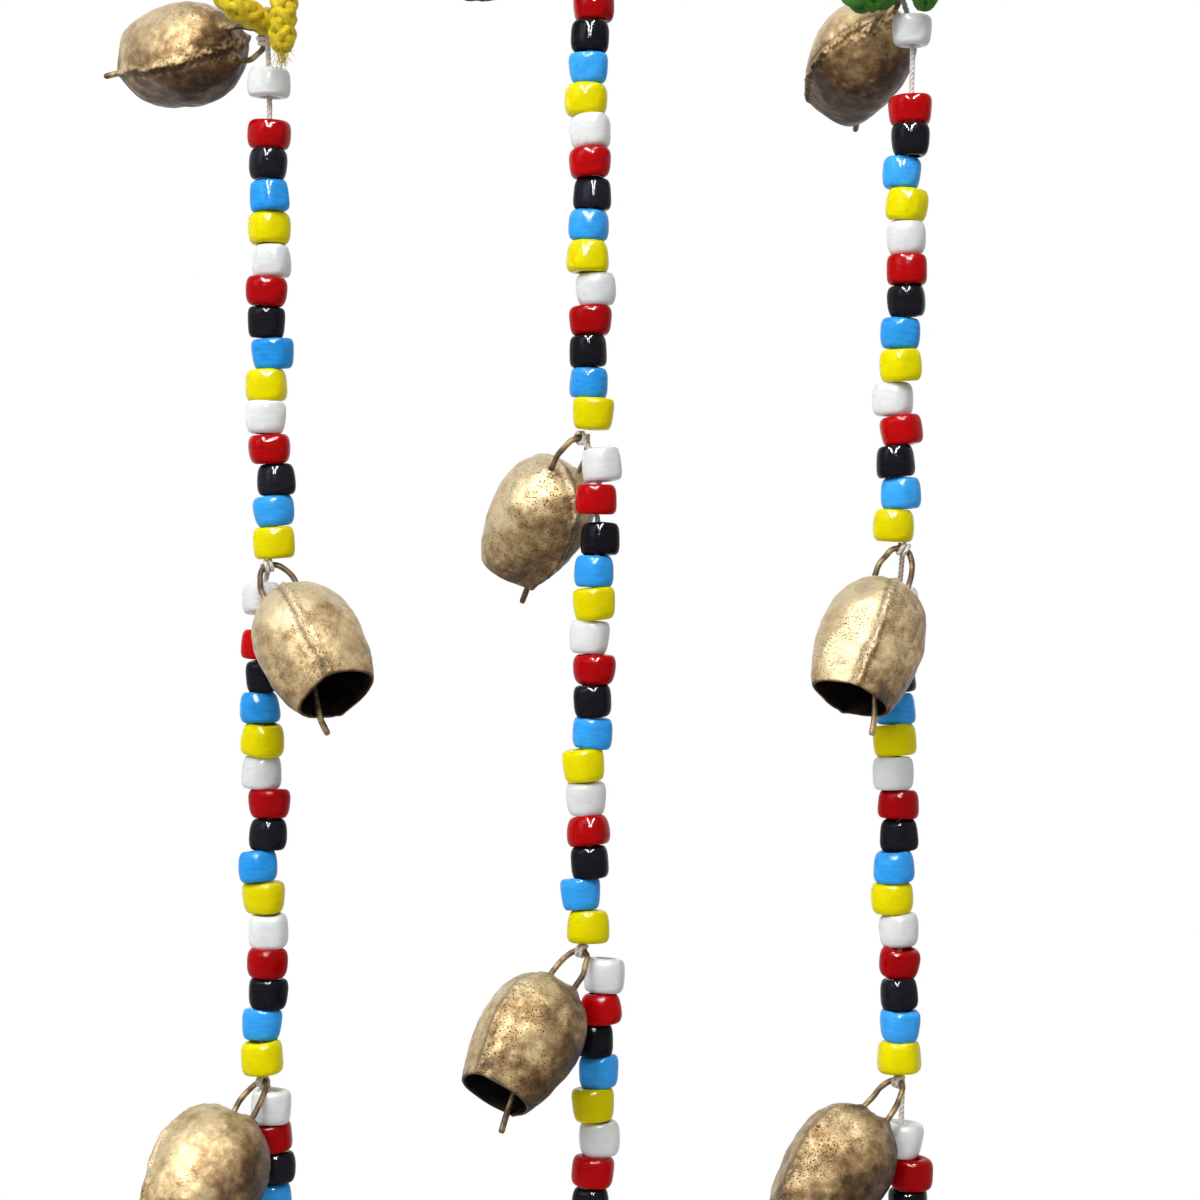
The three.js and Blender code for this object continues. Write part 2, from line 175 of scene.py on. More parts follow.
# Looks of the bells, with what most have first: their seams' turn and lumps, how pale and pitted they are,
# and how many flat hammer marks they have
USUAL_LOOK = {"seam_turn": 0, "pits": 0, "facets": 14, "lumps": 1}
# Each bell's tone is partly its own patina and partly painted shade, darker on bells that hang turned away
# from the light
BELL_LOOKS = {
    "left_top": {"seed": 1, "tone": -0.33, "facets": 10, "lumps": 4},
    "left_mid": {"seed": 2, "tone": -0.12, "facets": 26},
    "left_low": {"seed": 3, "seam_turn": -0.35, "tone": -0.3, "pits": -0.1, "facets": 6},
    "centre_top": {"seed": 4, "tone": -0.16},
    "centre_mid": {"seed": 5, "tone": -0.14, "pits": 0.16, "facets": 10},
    "centre_low": {"seed": 6, "tone": -0.33, "pits": 0.08},
    "right_top": {"seed": 7, "seam_turn": 1.15, "tone": -0.3, "lumps": 3},
    "right_mid": {"seed": 8, "tone": -0.1, "facets": 26},
    "right_low": {"seed": 9, "tone": -0.44, "lumps": 1.5},
}

# A bell's wall: rows of its skirt and dome, its lip, how round its plan is at the mouth and how much more so
# at the crown, and what draws its outline, as shares of its widths and heights
BELL_COLUMNS = 176
OUTER_ROWS = (44, 74)
INNER_ROWS = (14, 26)
LIP_SHARES = (0.2, 0.5, 0.8)
LIP_DROP = 0.2 * MM
MOUTH_ROUNDNESS = 1.12
CROWN_ROUNDING = 0.55
SKIRT_FLARE = 0.5
SKIRT_FLARE_HEIGHT = 0.2
SKIRT_SHOULDER = 0.5
DOME_SHOULDER = 0.52
CROWN_FLATNESS = 0.73

# Noise: how far one seed's place lies from the next, and what is added to a bell's seed for each of its marks
SEED_STEP = np.array((7.3, 3.1, 1.7))
ROUGH_SEED, SWELL_SEED, LIP_SEED, SEAM_SEED = 40, 50, 60, 80

# Dents of a bell, as depth, size and seed, its flat hammer marks with depths in millimetres, and its lip
DENTS = ((0.22 * MM, 4.5 * MM, 0), (0.13 * MM, 2 * MM, 20))
FACET_ROWS = (0.12, 0.85)
FACET_DEPTHS = (0.15, 0.5)
FACET_RADIUS = 7 * MM
FACET_FLATNESS = 0.9
LIP_DENTS = 0.35
LIP_STIFFNESS = 3 * MM
LIP_WAVE = 0.35 * MM
LIP_WAVE_SIZE = 6 * MM
LIP_WAVE_HEIGHT = 2 * MM
LIP_STAIN_HEIGHT = 5 * MM

# Braze: bands along a seam as offset and width, and the lumps on the seams and round the hanger's legs
SEAM_WANDER = 0.9 * MM
SEAM_WANDER_LENGTH = 5 * MM
SEAM_BANDS = {"ridge": (0, 0.8 * MM), "lap": (1.3 * MM, 0.55 * MM), "seam": (0, 2.2 * MM)}
RIDGE_HEIGHT = 0.44 * MM
RIDGE_SHARES = (0.9, 0.25, 0.5)
LAP_DEPTH = 0.14 * MM
LUMP_HEIGHT = 0.14 * MM
LUMP_ROUGHNESS = 0.6
ROUGH_SIZE = 0.8 * MM
SWELL_SIZE = 2.4 * MM
LEG_BRAZE_HEIGHT = 0.9 * MM
LEG_BRAZE_RADIUS = 1.7 * MM
LEG_BRAZE_ROUGHNESS = 0.4
CROWN_SHARE = 0.7

# Wire of the hangers: how far its bends stray in millimetres, and how uneven it is
HANGER_STRAY = (0.08, 0.1)
HANGER_STEP = 0.45 * MM
HANGER_SIDES = 14
HANGER_UNEVEN = (0.09, 1.6 * MM)

# Clappers: how far one hangs sideways in a tilted bell and its eye's bend, in degrees, and how far its rod
# strays in millimetres at shares of its length
CLAPPERS_ASKEW = {"left_mid": -10, "right_mid": 14}
CLAPPER_EYE = range(-55, 266, 20)
CLAPPER_BENDS = (0.12, 0.35, 0.6, 0.85, 1)
CLAPPER_STRAY = (0.22, 0.12)
CLAPPER_STEP = 0.5 * MM
CLAPPER_SIDES = 12
CLAPPER_END = 0.75
CLAPPER_UNEVEN = (0.08, 1.8 * MM)
UNEVEN_SEEDS = (0, 9)

# Materials: noise is given by its scale per metre, its detail, the range that is spread over 0 to 1 and its
# roughness, and bumps by their depth and strength
MIDDLE = (0.3, 0.7)
NARROW_MIDDLE = (0.32, 0.68)

# Glass: deep and pale tones of each colour, and faint rings
GLASS_COLOURS = {
    "white": ((0.6, 0.62, 0.62), (0.83, 0.84, 0.83)),
    "red": ((0.24, 0.0, 0.001), (0.54, 0.002, 0.003)),
    "black": ((0.001, 0.001, 0.002), (0.017, 0.016, 0.024)),
    "blue": ((0.003, 0.21, 0.62), (0.06, 0.42, 0.96)),
    "yellow": ((0.64, 0.54, 0.0), (0.82, 0.72, 0.0)),
}
GLASS_RINGS = (330, 3, MIDDLE)
GLASS_CLOUD = (190, 2, MIDDLE)
GLASS_RING_STRETCH = (1, 1, 5)
GLASS_RING_TONE = 0.3
GLASS_ROUGHNESS = (0.05, 0.12)
GLASS_SPECULAR = 0.05
GLASS_BUMP = (0.05 * MM, 0.5)

# Brass: its marks, how much each pales it, its colours from umber to pale gold, and its stains
BRASS_PATCH = (95, 5, NARROW_MIDDLE, 0.6)
BRASS_MOTTLE = (420, 8, MIDDLE, 0.68)
BRASS_GRAIN = (2600, 5, MIDDLE, 0.7)
BRASS_BLOTCH = (175, 5, (0.55, 0.64))
BRASS_SPECKS = (2900, 3, (0.57, 0.66))
BRASS_CLUSTERS = (130, 3)
CLUSTER_SPREAD = (0.42, 0.62)
# Pointiness: paler on ridges as wear, darker in hollows as painted shade
WEAR_AND_HOLLOW_SHADE_SPREAD = (0.45, 0.55)
# Painted light: faces turned towards this side, up, left and to the front, are painted paler
PAINTED_LIGHT_SIDE = (-0.42, -0.4, 0.82)
PAINTED_LIGHT_SPREAD = (-0.55, 0.95)
BRASS_PALING = {"patch": 0.4, "mottle": 0.32, "grain": 0.12, "worn": 0.26, "painted_light": 0.68}
BRASS_COLOURS = (
    (0.2, (0.036, 0.019, 0.009)),
    (0.42, (0.118, 0.067, 0.03)),
    (0.66, (0.315, 0.203, 0.094)),
    (0.9, (0.6, 0.455, 0.245)),
    (1.0, (0.67, 0.54, 0.335)),
)
BLOTCH_COLOUR = (0.06, 0.045, 0.042)
BLOTCH_SHARES = (0.2, 0.8)
PIT_COLOUR = (0.045, 0.028, 0.018)
LAP_COLOUR = (0.06, 0.036, 0.02)
LAP_SHARES = (0.2, 0.9)
BRASS_METALLIC = (0.3, 0.85)
BRASS_ROUGHNESS = (0.44, 0.26)
BRASS_SPECULAR = 0.1
SEAM_RELIEF = 1.5
WALL_RELIEF = 0.5
GRAIN_RELIEF = 0.4
BRASS_BUMP = (0.13 * MM, 0.8)

# The bells' inside
INSIDE_PATCHES = (260, 5, (0.4, 0.75))
INSIDE_COLOURS = ((0.2, (0.006, 0.005, 0.005)), (0.9, (0.045, 0.024, 0.013)))
INSIDE_ROUGHNESS = (0.65, 0.95)
INSIDE_SPECULAR = 0.2
INSIDE_BUMP = (0.2 * MM, 1.0)

# Iron wire with a wash of brass
WIRE_WASH = (340, 5, NARROW_MIDDLE)
WIRE_GRAIN = (1900, 3)
WIRE_COLOURS = ((0.2, (0.075, 0.048, 0.03)), (0.55, (0.165, 0.108, 0.06)), (0.9, (0.37, 0.265, 0.135)))
WIRE_METALLIC = (0.6, 1.0)
WIRE_ROUGHNESS = (0.36, 0.6)
WIRE_BUMP = (0.1 * MM, 0.7)

# Fibres of the thread and the ropes
COTTON_COLOURS = ((0.62, 0.55, 0.48), (0.86, 0.82, 0.77))
COTTON_FIBRE = {"roughness": 0.95, "sheen": 0.3, "line_scale": 3}
ROPE_FIBRE = {"roughness": 0.42, "sheen": 0.05, "line_scale": 6}
FIBRE_LINES = (900, 4, MIDDLE)
FIBRE_TUFT = (420, 3, MIDDLE)
FIBRE_SHEEN_ROUGHNESS = 0.4
FIBRE_SPECULAR = 0.2
FIBRE_BUMP = (0.18 * MM, 0.8)

# View of the photograph: the point that it aims at, the width that it shows there and its distance
VIEW_CENTRE = Vector((3.375 * MM, 0, -178.15 * MM))
VIEW_WIDTH = 0.27
VIEW_DISTANCE = 0.55
VIEW_NEAREST = 0.01
SENSOR_WIDTH = 36

# Lamps: their places, the lengths of their sides, their watts and the direction of their second sides
LAMPS = {
    "left_box": ((-0.3, -0.55, 0.5), (0.25, 0.5), 4, (1, 0, 1)),
    "right_box": ((0.2, -0.55, 0.5), (0.25, 0.5), 2.6, (-1, 0, 1)),
    "side_box": ((-0.7, -0.6, 0.3), (0.5, 0.5), 4, (0, 0, 1)),
}
# Tube lamps that streak the glass: the right one's ends, their width and watts
GLINT_LOW_END = (0.06, -0.84, 0.2)
GLINT_HIGH_END = (0.3, -0.25, 0.75)
GLINT_WIDTH = 0.05
GLINT_POWER = 110

# White surroundings, as strong as they light and as they are seen, and the floor
WORLD_COLOUR = (1, 1, 1, 1)
WORLD_STRENGTHS = (0.3, 1.0)
FLOOR_HEIGHT = -0.42
FLOOR_RADIUS = 0.36
FLOOR_CORNERS = 96
FLOOR_GRAIN = (40, 3)
FLOOR_COLOURS = ((0.3, (0.86, 0.86, 0.86)), (0.7, (0.9, 0.9, 0.9)))
FLOOR_ROUGHNESS = 0.9

# Colour sockets of a mix node
MIX_FIRST, MIX_SECOND, MIX_RESULT = 6, 7, 2


# Places in the frame

def joint(name):
    return next(j for j in frame["joints"] if j["name"] == name)


def tie_point(run):
    return Vector(joint(f"{run}_bell_swing")["pos_m"])


def string_point(run):
    """Where the thread passes the wire that is tied above a run"""
    low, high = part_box(f"{run.split('_')[0]}_top_beads")
    return Vector(((low.x + high.x) / 2, (low.y + high.y) / 2, tie_point(run).z))


def pushed_back(run, height):
    """How far back a run's beads stand at a height below its tie, out to the bell and back to the string"""
    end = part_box(f"{run}_beads")[0].z - tie_point(run).z
    out = min(max(-height / PUSH_DROP, 0), 1)
    back = min(max((height + PUSH_DROP) / (end + PUSH_DROP), 0), 1)
    return RUNS[run]["push"] * MM * math.sin(out * math.pi / 2) * (1 - back)


def bell_place(run):
    """Matrix of a bell: its tie at the origin, X along the tied wire and Z up along its axis"""
    tie = tie_point(run)
    up = (tie - Vector(joint(f"{run}_clapper_swing")["pos_m"])).normalized()
    across = Vector(joint(f"{run}_bell_swing")["axis"]).normalized()
    turned = Matrix((across, up.cross(across), up)).transposed()
    return Matrix.Translation(tie) @ turned.to_4x4()


# Camera, lamps, world and floor

def add_object(name, data):
    made = bpy.data.objects.new(name, data)
    bpy.context.scene.collection.objects.link(made)
    return made


def add_camera():
    data = bpy.data.cameras.new("photo_camera")
    data.sensor_width = SENSOR_WIDTH
    data.lens = SENSOR_WIDTH * VIEW_DISTANCE / VIEW_WIDTH
    data.clip_start = VIEW_NEAREST
    camera = add_object("photo_camera", data)
    camera.location = VIEW_CENTRE + Vector((0, -VIEW_DISTANCE, 0))
    camera.rotation_euler = (math.pi / 2, 0, 0)
    bpy.context.scene.camera = camera


def add_lamp(name, place, size, power, along):
    """A rectangular lamp that faces the middle of the set, with its second side along a direction"""
    data = bpy.data.lights.new(name, "AREA")
    data.shape = "RECTANGLE"
    data.size, data.size_y = size
    data.energy = power
    lamp = add_object(name, data)
    lamp.location = place
    back = (Vector(place) - VIEW_CENTRE).normalized()
    across = Vector(along).cross(back).normalized()
    lamp.rotation_euler = Matrix((across, back.cross(across), back)).transposed().to_euler()
    return lamp


def add_glint(side, receivers):
    """A tube lamp to one side that shows only as a streak on glossy glass"""
    low_end, high_end = (Vector((side * x, y, z)) for x, y, z in (GLINT_LOW_END, GLINT_HIGH_END))
    along = high_end - low_end
    size = (GLINT_WIDTH, along.length)
    lamp = add_lamp(f"glint_{side}", (low_end + high_end) / 2, size, GLINT_POWER, along)
    lamp.visible_diffuse = False
    lamp.light_linking.receiver_collection = receivers


def add_world():
    """White to the camera and in reflections, and a softer white as light"""
    world = bpy.data.worlds.new("studio")
    world.use_nodes = True
    bpy.context.scene.world = world
    tree = world.node_tree
    rays = add(tree, "LightPath").outputs
    seen = combine(tree, "MAXIMUM", rays["Is Camera Ray"], rays["Is Glossy Ray"])
    seen = combine(tree, "MAXIMUM", seen, rays["Is Transmission Ray"])
    set_inputs(tree, tree.nodes["Background"], {
        "Color": WORLD_COLOUR, "Strength": between(tree, seen, *WORLD_STRENGTHS),
    })


def add_floor():
    turns = full_turn(FLOOR_CORNERS)
    points = [(FLOOR_RADIUS * math.cos(turn), FLOOR_RADIUS * math.sin(turn), FLOOR_HEIGHT) for turn in turns]
    mesh = bpy.data.meshes.new("floor")
    mesh.from_pydata(points, [], [list(range(FLOOR_CORNERS))])
    floor = add_object("floor", mesh)
    material, tree, shader = new_material("floor_paint")
    grain = texture_noise(tree, object_coordinates(tree), *FLOOR_GRAIN)
    set_inputs(tree, shader, {"Base Color": ramp(tree, grain, FLOOR_COLOURS), "Roughness": FLOOR_ROUGHNESS})
    mesh.materials.append(material)


# Node helpers

def set_inputs(tree, node, inputs):
    """Each named input set to a value, or linked where the value is another node's output"""
    for key, value in inputs.items():
        if isinstance(value, bpy.types.NodeSocket):
            tree.links.new(value, node.inputs[key])
        else:
            node.inputs[key].default_value = value


def add(tree, kind, inputs=None, **settings):
    """A node with its settings and inputs"""
    made = tree.nodes.new("ShaderNode" + kind)
    for key, value in settings.items():
        setattr(made, key, value)
    set_inputs(tree, made, inputs or {})
    return made


def new_material(name):
    material = bpy.data.materials.new(name)
    material.use_nodes = True
    tree = material.node_tree
    return material, tree, tree.nodes["Principled BSDF"]


def object_coordinates(tree, stretch=(1, 1, 1)):
    place = add(tree, "TexCoord").outputs["Object"]
    return add(tree, "Mapping", {"Vector": place, "Scale": stretch}).outputs[0]


def point_value(tree, name, output="Fac"):
    return add(tree, "Attribute", attribute_name=name).outputs[output]


def spread_out(tree, value, low, high):
    """A value's range from low to high, spread over 0 to 1"""
    return add(tree, "MapRange", {"Value": value, "From Min": low, "From Max": high}).outputs[0]


def between(tree, value, low, high):
    """A value from 0 to 1, brought between low and high"""
    return add(tree, "MapRange", {"Value": value, "To Min": low, "To Max": high}).outputs[0]


def texture_noise(tree, vector, scale, detail, spread=None, roughness=0.5):
    """Noise, with its usual middle range spread over 0 to 1 where a spread is given"""
    made = add(tree, "TexNoise", {
        "Vector": vector, "Scale": scale, "Detail": detail, "Roughness": roughness,
    }).outputs["Fac"]
    return spread_out(tree, made, *spread) if spread else made


def ramp(tree, factor, stops):
    made = add(tree, "ValToRGB", {"Fac": factor})
    elements = made.color_ramp.elements
    while len(elements) < len(stops):
        elements.new(1)
    for element, (place, colour) in zip(elements, stops):
        element.position = place
        element.color = (*colour, 1)
    return made.outputs["Color"]


def mix_colours(tree, factor, first, second):
    inputs = {"Factor": factor}
    for socket, colour in ((MIX_FIRST, first), (MIX_SECOND, second)):
        inputs[socket] = colour if isinstance(colour, bpy.types.NodeSocket) else (*colour, 1)
    return add(tree, "Mix", inputs, data_type="RGBA").outputs[MIX_RESULT]


def combine(tree, operation, *values):
    return add(tree, "Math", dict(enumerate(values)), operation=operation).outputs[0]


def bump(tree, shader, height, depth, strength):
    made = add(tree, "Bump", {"Height": height, "Distance": depth, "Strength": strength})
    set_inputs(tree, shader, {"Normal": made.outputs[0]})


# Materials

def glass_material(colour, deep, pale):
    """Opaque pressed glass: each bead has a tone of its own, with faint rings round it"""
    material, tree, shader = new_material(f"glass_{colour}")
    rings = texture_noise(tree, object_coordinates(tree, GLASS_RING_STRETCH), *GLASS_RINGS)
    cloud = texture_noise(tree, object_coordinates(tree), *GLASS_CLOUD)
    blend = combine(tree, "MULTIPLY_ADD", rings, GLASS_RING_TONE, -GLASS_RING_TONE / 2)
    blend = combine(tree, "ADD", blend, point_value(tree, "tone"))
    set_inputs(tree, shader, {
        "Base Color": mix_colours(tree, blend, deep, pale),
        "Roughness": between(tree, cloud, *GLASS_ROUGHNESS),
        "Specular IOR Level": GLASS_SPECULAR,
    })
    bump(tree, shader, rings, *GLASS_BUMP)
    return material


def brass_shine(tree, place, mottle, grain):
    """How pale the brass is: by its tone, which is partly painted shade; by its marks; by its worn ridges and
    its hollows, darkened as painted shade; and by painted light on the faces turned up, left and to the front
    """
    # Painted light and shade: the bell's tone is partly painted shade, faces turned up, left and to the front
    # are painted paler, and hollows are painted darker by pointiness
    normal = add(tree, "TexCoord").outputs["Normal"]
    light_facing = add(tree, "VectorMath", {0: normal, 1: PAINTED_LIGHT_SIDE}, operation="DOT_PRODUCT").outputs["Value"]
    pointiness = add(tree, "NewGeometry").outputs["Pointiness"]
    marks = {
        "patch": texture_noise(tree, place, *BRASS_PATCH),
        "mottle": mottle,
        "grain": grain,
        "worn": spread_out(tree, pointiness, *WEAR_AND_HOLLOW_SHADE_SPREAD),
        "painted_light": spread_out(tree, light_facing, *PAINTED_LIGHT_SPREAD),
    }
    shine = point_value(tree, "tone")
    for mark, value in marks.items():
        shine = combine(tree, "ADD", shine, combine(tree, "MULTIPLY", value, BRASS_PALING[mark]))
    return shine


def brass_pits(tree, place, seam):
    """Specks that gather in clusters and along the seams"""
    clusters = texture_noise(tree, place, *BRASS_CLUSTERS)
    clusters = combine(tree, "ADD", clusters, point_value(tree, "pits"))
    clusters = spread_out(tree, clusters, *CLUSTER_SPREAD)
    specks = texture_noise(tree, place, *BRASS_SPECKS)
    return combine(tree, "MULTIPLY", specks, combine(tree, "MAXIMUM", clusters, seam))


def brass_material():
    """Brass sheet, hammered, brazed and aged: pale gold as painted light on the faces turned up, left and to
    the front, darker in hollows as painted shade, umber in patches and pits
    """
    material, tree, shader = new_material("hammered_brass")
    place = object_coordinates(tree)
    mottle = texture_noise(tree, place, *BRASS_MOTTLE)
    grain = texture_noise(tree, place, *BRASS_GRAIN)
    seam = point_value(tree, "seam")
    shine = brass_shine(tree, place, mottle, grain)
    pits = brass_pits(tree, place, seam)
    lip = between(tree, point_value(tree, "lip"), *BLOTCH_SHARES)
    blotch = combine(tree, "MULTIPLY", texture_noise(tree, place, *BRASS_BLOTCH), lip)
    lap = combine(tree, "MULTIPLY", point_value(tree, "lap"), between(tree, mottle, *LAP_SHARES))
    colour = ramp(tree, shine, BRASS_COLOURS)
    for stain, stain_colour in ((blotch, BLOTCH_COLOUR), (pits, PIT_COLOUR), (lap, LAP_COLOUR)):
        colour = mix_colours(tree, stain, colour, stain_colour)
    set_inputs(tree, shader, {
        "Base Color": colour,
        "Metallic": between(tree, shine, *BRASS_METALLIC),
        "Roughness": between(tree, mottle, *BRASS_ROUGHNESS),
        "Specular IOR Level": BRASS_SPECULAR,
    })
    relief = combine(tree, "MULTIPLY_ADD", seam, SEAM_RELIEF, WALL_RELIEF)
    relief = combine(tree, "MULTIPLY", mottle, relief)
    relief = combine(tree, "ADD", relief, combine(tree, "MULTIPLY", grain, GRAIN_RELIEF))
    bump(tree, shader, combine(tree, "SUBTRACT", relief, pits), *BRASS_BUMP)
    return material


def dark_inside_material():
    """The bells' inside, nearly black, with browner patches"""
    material, tree, shader = new_material("dark_inside")
    inside_patches = texture_noise(tree, object_coordinates(tree), *INSIDE_PATCHES)
    set_inputs(tree, shader, {
        "Base Color": ramp(tree, inside_patches, INSIDE_COLOURS),
        "Roughness": between(tree, inside_patches, *INSIDE_ROUGHNESS),
        "Specular IOR Level": INSIDE_SPECULAR,
    })
    bump(tree, shader, inside_patches, *INSIDE_BUMP)
    return material


def wire_material():
    """Iron wire with a worn wash of brass"""
    material, tree, shader = new_material("brassed_wire")
    place = object_coordinates(tree)
    wash = texture_noise(tree, place, *WIRE_WASH)
    grain = texture_noise(tree, place, *WIRE_GRAIN)
    set_inputs(tree, shader, {
        "Base Color": ramp(tree, wash, WIRE_COLOURS),
        "Metallic": between(tree, wash, *WIRE_METALLIC),
        "Roughness": between(tree, grain, *WIRE_ROUGHNESS),
    })
    bump(tree, shader, combine(tree, "ADD", wash, grain), *WIRE_BUMP)
    return material


def fibre_material(name, deep, pale, roughness, sheen, line_scale):
    """Twisted fibres: fine lines along each strand, over soft patches"""
    material, tree, shader = new_material(name)
    stretch = (1, line_scale, line_scale)
    along = add(tree, "Mapping", {"Vector": point_value(tree, "lay", "Vector"), "Scale": stretch}).outputs[0]
    lines = texture_noise(tree, along, *FIBRE_LINES)
    tuft = texture_noise(tree, object_coordinates(tree), *FIBRE_TUFT)
    blend = combine(tree, "MULTIPLY", combine(tree, "ADD", lines, tuft), 0.5)
    set_inputs(tree, shader, {
        "Base Color": mix_colours(tree, blend, deep, pale),
        "Roughness": roughness,
        "Sheen Weight": sheen,
        "Sheen Roughness": FIBRE_SHEEN_ROUGHNESS,
        "Specular IOR Level": FIBRE_SPECULAR,
    })
    bump(tree, shader, lines, *FIBRE_BUMP)
    return material


# Mesh helpers

def grid_faces(rows, columns, rows_close, start=0):
    """Quads of a grid whose columns go right round, and whose rows do where they close"""
    row = np.arange(rows if rows_close else rows - 1)[:, None]
    column = np.arange(columns)[None, :]
    beside = (column + 1) % columns
    above = (row + 1) % rows
    corners = [row * columns + column, row * columns + beside,
               above * columns + beside, above * columns + column]
    return np.stack(np.broadcast_arrays(*corners), axis=-1).reshape(-1, 4) + start


class Shape:
    """Points, faces and point values that are gathered into one mesh"""

    def __init__(self):
        self.points, self.faces, self.values, self.count = [], [], {}, 0

    def add_grid(self, grid, rows_close=False, ends_close=False, **values):
        """A grid of (row, column) points, with a fan on each end where they are closed"""
        rows, columns = grid.shape[:2]
        start = self.count
        points = [grid.reshape(-1, 3)]
        self.faces += grid_faces(rows, columns, rows_close, start).tolist()
        if ends_close:
            first, last = start + rows * columns, start + rows * columns + 1
            points.append(np.array([grid[0].mean(0), grid[-1].mean(0)]))
            top = start + (rows - 1) * columns
            for i in range(columns):
                j = (i + 1) % columns
                self.faces.append([first, start + j, start + i])
                self.faces.append([last, top + i, top + j])
        self.points += points
        self.count += sum(len(p) for p in points)
        for key, value in values.items():
            flat = np.asarray(value, float).reshape(rows * columns, -1)
            flat = np.concatenate([flat, flat[[0, -1]]]) if ends_close else flat
            self.values.setdefault(key, []).append(flat)

    def make(self, name, materials, place=None, face_material=None):
        mesh = bpy.data.meshes.new(name)
        points = np.concatenate(self.points)
        mesh.from_pydata(points.tolist(), [], self.faces)
        for key, parts in self.values.items():
            flat = np.concatenate(parts)
            kind, field = ("FLOAT", "value") if flat.shape[1] == 1 else ("FLOAT_VECTOR", "vector")
            mesh.attributes.new(key, kind, "POINT").data.foreach_set(field, flat.astype(np.float32).ravel())
        for material in materials:
            mesh.materials.append(material)
        if face_material is not None:
            mesh.polygons.foreach_set("material_index", np.asarray(face_material, np.int32))
        mesh.polygons.foreach_set("use_smooth", np.ones(len(mesh.polygons), bool))
        if place is not None:
            mesh.transform(place)
        mesh.update()
        return add_object(name, mesh)


def lerp_between(t, start, end, first, second):
    return first + (second - first) * ((t - start) / (end - start))


def smooth_route(points, step, closed=False):
    """A curve through the points, with a sample about every step"""
    points = [Vector(p) for p in points]
    count = len(points)
    fine = []
    for i in range(count if closed else count - 1):
        if closed:
            a, b, c, d = (points[(i + k - 1) % count] for k in range(4))
        else:
            b, c = points[i], points[i + 1]
            a = points[i - 1] if i else b * 2 - c
            d = points[i + 2] if i + 2 < count else c * 2 - b
        spans = ((a, b), (b, c), (c, d))
        knots = [0.0]
        for p, q in spans:
            knots.append(knots[-1] + max((q - p).length, SHORTEST_SPAN) ** 0.5)
        samples = max(2, round((c - b).length / step))
        for k in range(samples):
            t = knots[1] + (knots[2] - knots[1]) * k / samples
            near = [lerp_between(t, knots[m], knots[m + 1], *spans[m]) for m in range(3)]
            mid = [lerp_between(t, knots[m], knots[m + 2], near[m], near[m + 1]) for m in range(2)]
            fine.append(lerp_between(t, knots[1], knots[2], mid[0], mid[1]))
    if not closed:
        fine.append(points[-1])
    return np.array([tuple(p) for p in fine])


def route_frames(path, closed=False):
    """Two unit vectors square to a path at each of its points, turning as little as they can"""
    ahead = np.roll(path, -1, 0) - np.roll(path, 1, 0) if closed else np.gradient(path, axis=0)
    ahead /= np.linalg.norm(ahead, axis=1)[:, None]
    side = np.cross(ahead[0], (0, 1, 0) if abs(ahead[0][1]) < 0.9 else (1, 0, 0))
    sides = []
    for direction in ahead:
        side = side - direction * (side @ direction)
        side = side / np.linalg.norm(side)
        sides.append(side)
    sides = np.array(sides)
    return sides, np.cross(ahead, sides)


def distances(path):
    return np.concatenate([[0], np.cumsum(np.linalg.norm(np.diff(path, axis=0), axis=1))])


def tube(path, radius, sides, closed=False):
    """Grid of points round a path; the radius is one number or one for each point of the path"""
    sideways, upward = route_frames(path, closed)
    turn = full_turn(sides)
    radius = np.broadcast_to(np.asarray(radius, float).reshape(-1, 1), (len(path), sides))
    return path[:, None] + radius[..., None] * (
        np.cos(turn)[None, :, None] * sideways[:, None] + np.sin(turn)[None, :, None] * upward[:, None])


def add_laid_cord(shape, path, strands, strand_radius, spread, lay, sides, way=1, weave=0):
    """Strands twisted round a path, which may weave in and out, and draw together at its ends"""
    sideways, upward = route_frames(path)
    along = distances(path)
    around = full_turn(sides)
    from_end = np.clip(np.minimum(along, along[-1] - along) / (spread + strand_radius), 0, 1)
    fullness = np.sqrt(np.clip(1 - (1 - from_end) ** 2, END_FULLNESS, 1))
    for strand in range(strands):
        turn = TURN * (strand / strands + way * along / lay)
        out = spread * fullness + weave * np.cos(TURN * strands * along / lay + math.pi * strand)
        centre = path + out[:, None] * (np.cos(turn)[:, None] * sideways + np.sin(turn)[:, None] * upward)
        grid = tube(centre, strand_radius * fullness, sides)
        section = (np.cos(around)[None] * strand_radius, np.sin(around)[None] * strand_radius)
        lay_vector = np.stack(np.broadcast_arrays(along[:, None] + strand, *section), -1)
        shape.add_grid(grid, ends_close=True, lay=lay_vector)


def full_turn(count):
    """Angles of points that are spaced evenly round a circle"""
    return np.linspace(0, TURN, count, endpoint=False)


def signed_power(value, power):
    return np.sign(value) * np.abs(value) ** power


def noise_at(points, scale, seed):
    """Smooth noise from -1 to 1 at each point of a grid"""
    flat = points.reshape(-1, 3) / scale + seed * SEED_STEP
    return np.array([noise.noise(p) for p in flat]).reshape(points.shape[:-1])


def uneven(grid, path, rng, depth, size):
    """A wire's grid with its thickness varied along and round it"""
    return grid + (grid - path[:, None]) * depth * noise_at(grid, size, rng.uniform(*UNEVEN_SEEDS))[..., None]


# Rope loops

